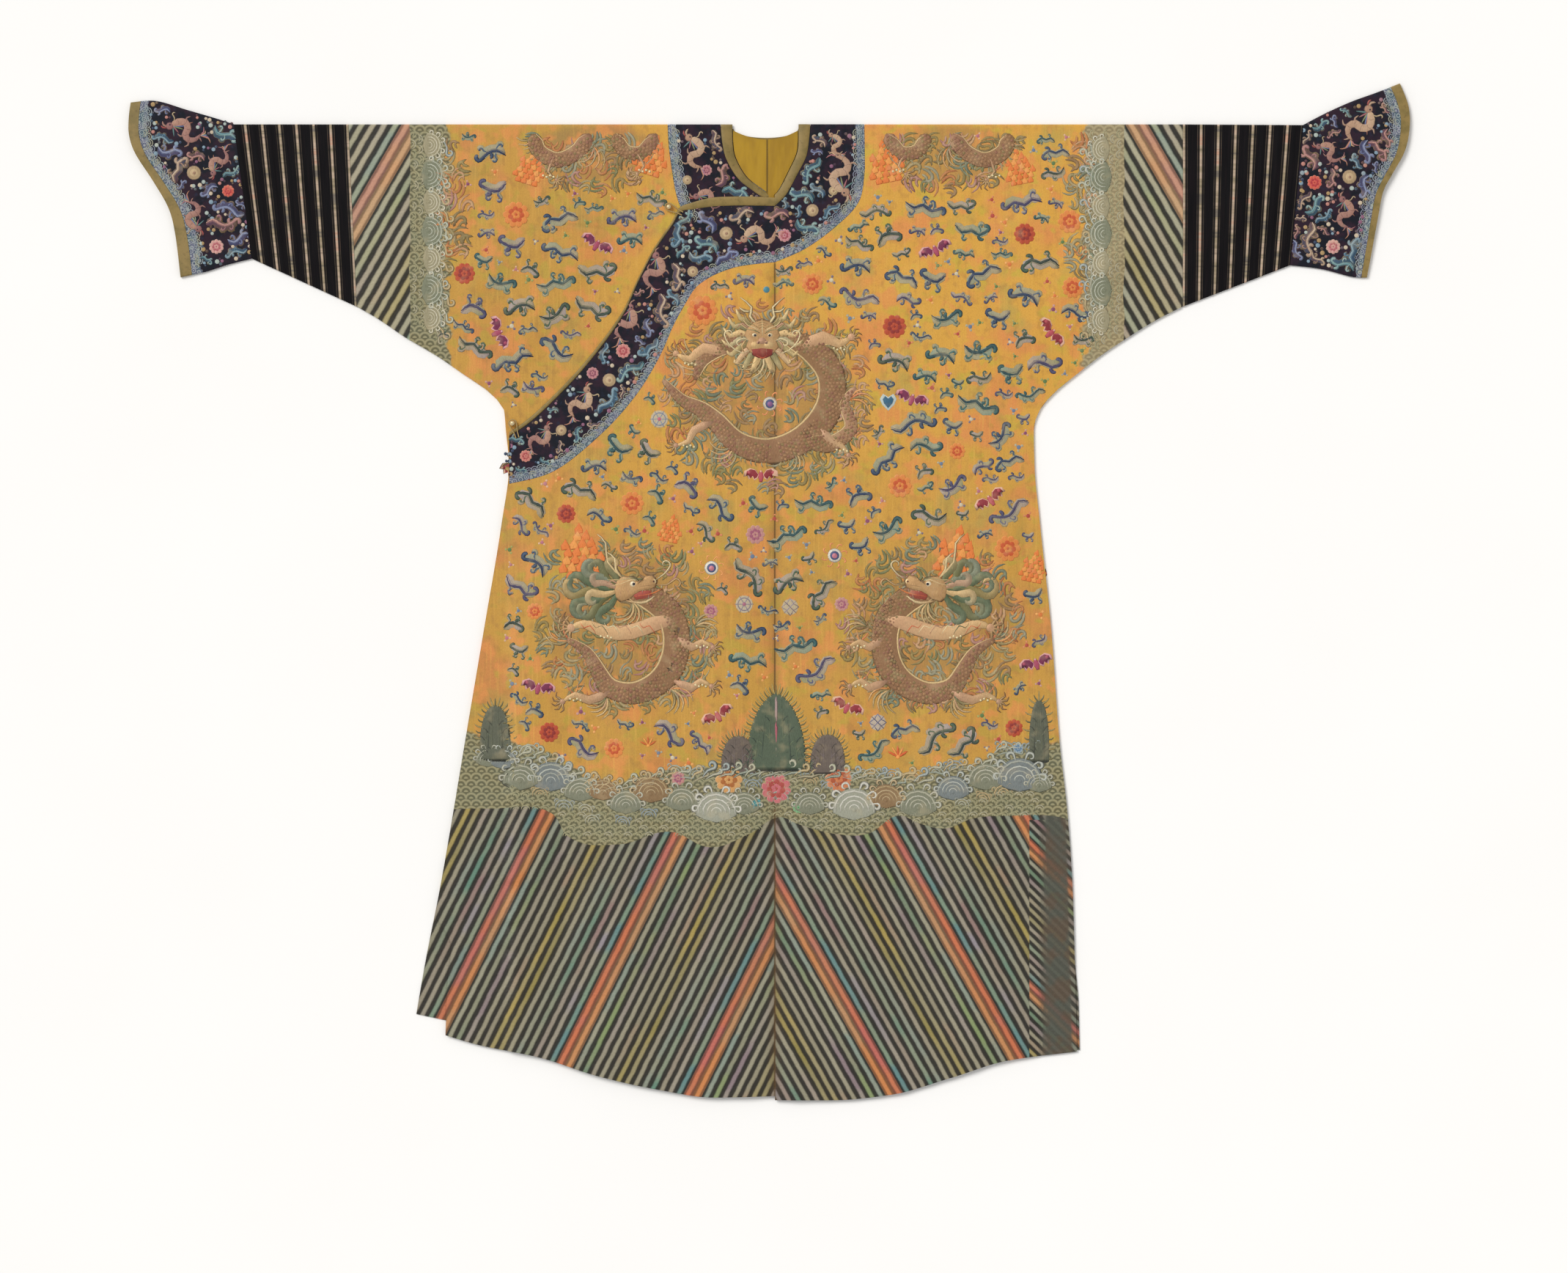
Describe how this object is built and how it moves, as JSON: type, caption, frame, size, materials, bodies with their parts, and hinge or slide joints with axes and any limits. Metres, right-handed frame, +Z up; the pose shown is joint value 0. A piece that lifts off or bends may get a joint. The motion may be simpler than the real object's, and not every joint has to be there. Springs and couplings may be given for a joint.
{
  "type": "chinese dragon robe laid flat",
  "caption": "Long side-closing silk robe laid flat, with horse-hoof cuffs, ribbed sleeve bands, a dark curved collar band and side vents.",
  "frame": {"origin": "on the surface the robe lies on, in the middle of its length and width", "axes": "+X to the wearer's left across the sleeves, +Y from the hem up to the collar, +Z up out of the surface, front of the robe facing up"},
  "size_m": [1.8424, 1.462, 0.0122],
  "materials": {
    "ground_silk": "golden tapestry-woven silk with coloured motifs, striped hem, soft satin sheen",
    "navy_silk": "navy tapestry-woven silk with blue clouds, pale dragons and a light blue wave border",
    "black_silk": "black satin crossed by narrow gold and pink lines",
    "tan_binding": "tan silk edging, fine twill",
    "yellow_lining": "bright yellow silk lining, satin",
    "gilt": "worn gilt"
  },
  "bodies": {
    "root": {"left_length": "ground_silk", "right_length": "ground_silk", "overlap_front": "ground_silk", "collar_left": "navy_silk", "collar_right": "navy_silk", "collar_back": "navy_silk", "flap_band": "navy_silk", "neck_binding_left": "tan_binding", "neck_binding_right": "tan_binding", "neck_binding_back": "tan_binding", "flap_binding": "tan_binding", "lining_left": "yellow_lining", "lining_right": "yellow_lining", "sleeve_band_left": "black_silk", "sleeve_band_right": "black_silk", "cuff_left": "navy_silk", "cuff_right": "navy_silk", "cuff_binding_left": "tan_binding", "cuff_binding_right": "tan_binding", "button_collar": "gilt", "button_side": "gilt", "loop_collar": "tan_binding", "loop_side": "tan_binding"}
  },
  "joints": []
}
